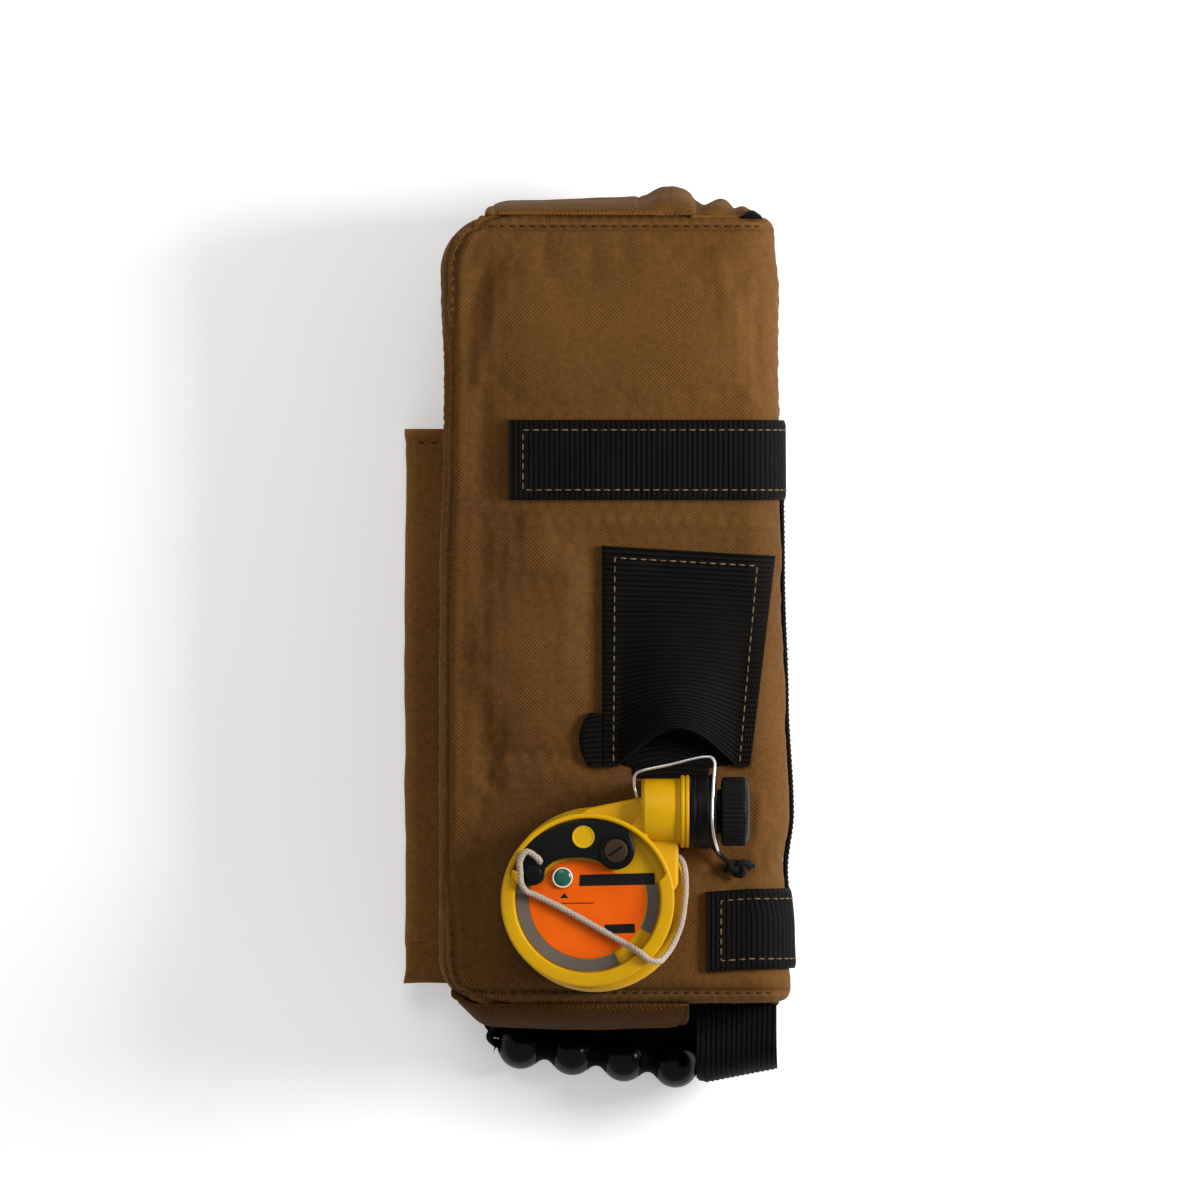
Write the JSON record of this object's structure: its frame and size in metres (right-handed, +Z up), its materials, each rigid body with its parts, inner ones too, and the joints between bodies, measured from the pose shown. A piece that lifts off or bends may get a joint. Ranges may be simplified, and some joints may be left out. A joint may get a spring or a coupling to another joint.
{
  "type": "inflatable belt pack",
  "caption": "Slim cloth pouch with a folded float inside, a round inflator on its face, webbing, a back pocket, a beaded pull handle and a webbing loop",
  "frame": {"origin": "middle of the footprint of the pack lying on its back, on the surface it lies on", "axes": "+Z is up, out of the face with the inflator; +Y runs along the pack to its upper end; +X is the belt side"},
  "size_m": [0.1244, 0.2872, 0.0905],
  "materials": {
    "cover_cloth": "coyote-brown coated nylon cloth, fine weave",
    "flap_cloth": "coyote-brown cloth with a pile face",
    "float_cloth": "dark coated cloth",
    "webbing": "black nylon webbing",
    "thread": "black braided cord",
    "bead": "polished black",
    "inflator_shell": "moulded yellow, satin",
    "label": "orange and grey face, bare",
    "lever": "moulded black, satin",
    "window": "yellow",
    "pivot": "dark brown-grey",
    "indicator": "green lens",
    "cord": "off-white braided cord",
    "black_plastic": "moulded black",
    "wire": "bright steel wire"
  },
  "bodies": {
    "root": {"cover_front": "cover_cloth", "cover_back": "cover_cloth", "float_core": "float_cloth", "top_flap": "cover_cloth", "bottom_flap": "flap_cloth", "pocket": "cover_cloth", "webbing_strip": "webbing", "corner_patch": "webbing", "belt_strap": "webbing", "cylinder_sleeve": "webbing", "sleeve_tab": "webbing", "pull_loop": "webbing", "handle_strap": "webbing", "handle_thread": "thread", "bead_1": "bead", "bead_2": "bead", "bead_3": "bead", "bead_4": "bead", "inflator_body": "inflator_shell", "label_disc": "label", "pull_lever": "lever", "face_window": "window", "lever_pivot": "pivot", "indicator": "indicator", "pull_cord": "cord", "valve_collar": "black_plastic", "end_knob": "black_plastic", "wire_clip": "wire", "cord_knot": "thread"}
  },
  "joints": []
}
